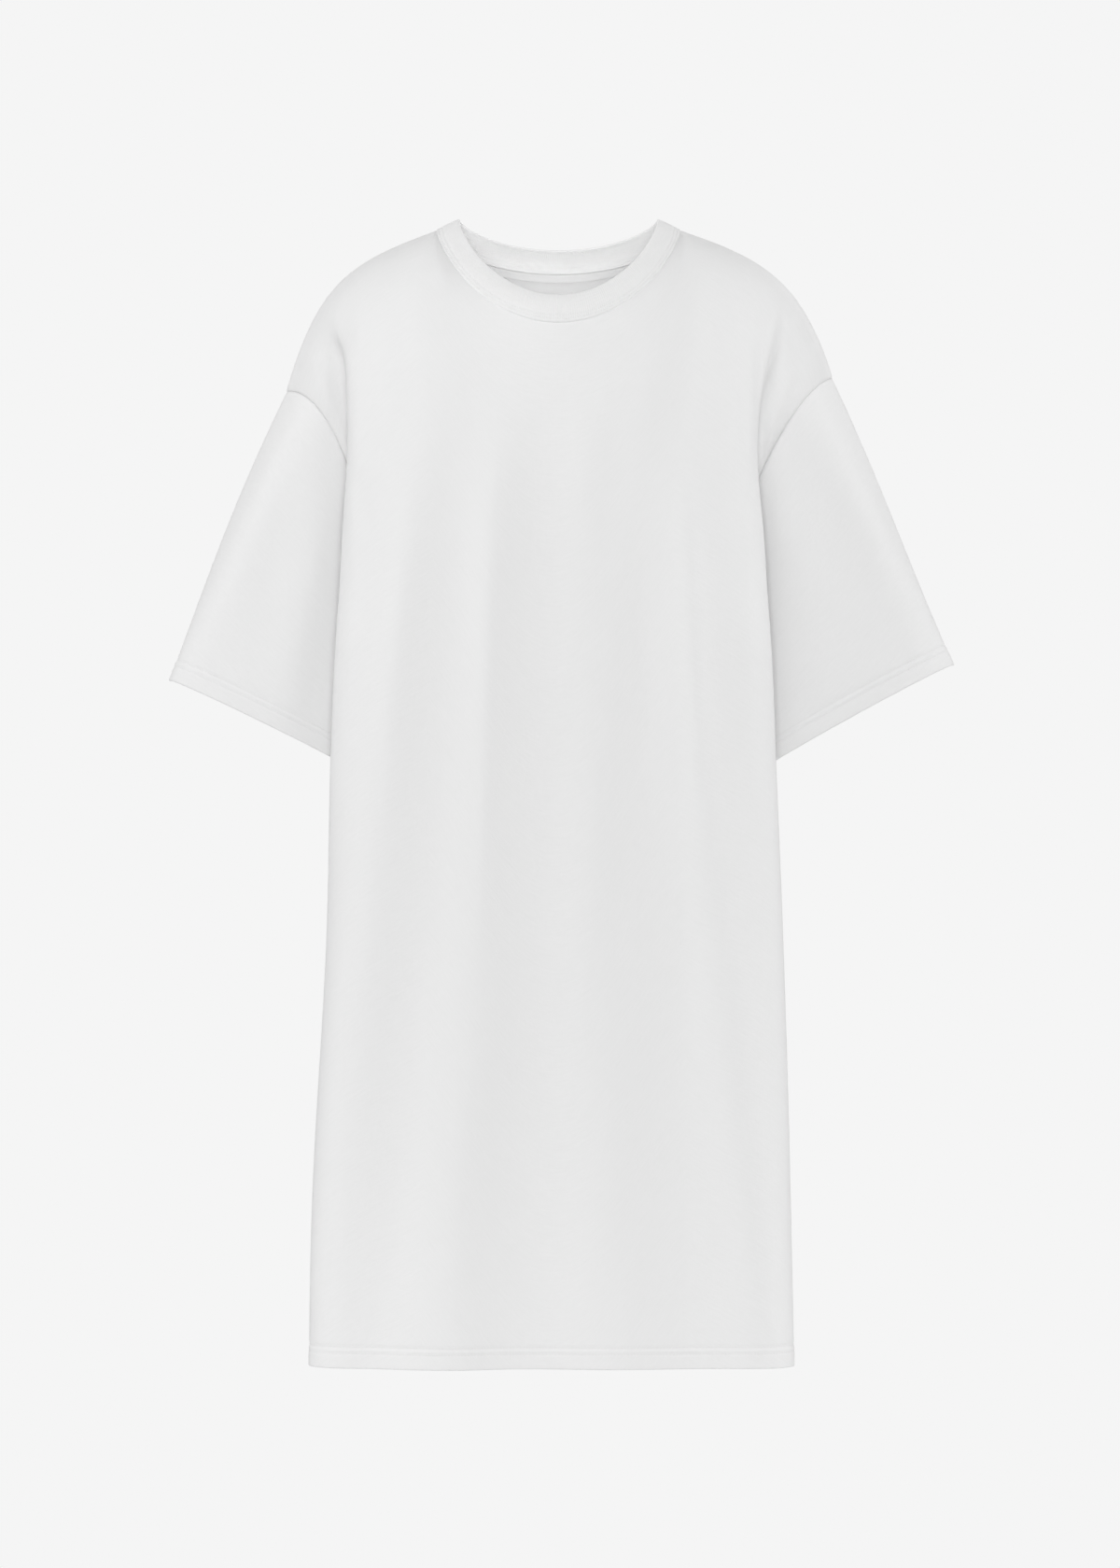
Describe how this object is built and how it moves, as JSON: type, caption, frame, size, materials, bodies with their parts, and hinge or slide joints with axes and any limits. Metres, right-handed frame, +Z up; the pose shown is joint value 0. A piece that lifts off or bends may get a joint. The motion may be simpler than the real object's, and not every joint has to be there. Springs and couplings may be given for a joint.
{
  "type": "t-shirt dress",
  "caption": "Oversized jersey T-shirt dress, filled out with no wearer: ribbed crew neck, dropped shoulders, wide half sleeves and a straight skirt to a level hem.",
  "frame": {"origin": "midway between the two sides of the neck, where the shoulders hold the dress", "axes": "+Z up from the hem to the neck, -Y out of the front of the dress, +X to the right as seen from the front"},
  "size_m": [0.756, 0.2297, 1.0983],
  "materials": {
    "jersey": "fine matt single jersey",
    "rib": "fine matt rib knit"
  },
  "bodies": {
    "root": {"front": "jersey", "back": "jersey", "sleeve_left": "jersey", "sleeve_right": "jersey", "neck_rib": "rib", "neck_tape": "jersey"}
  },
  "joints": []
}
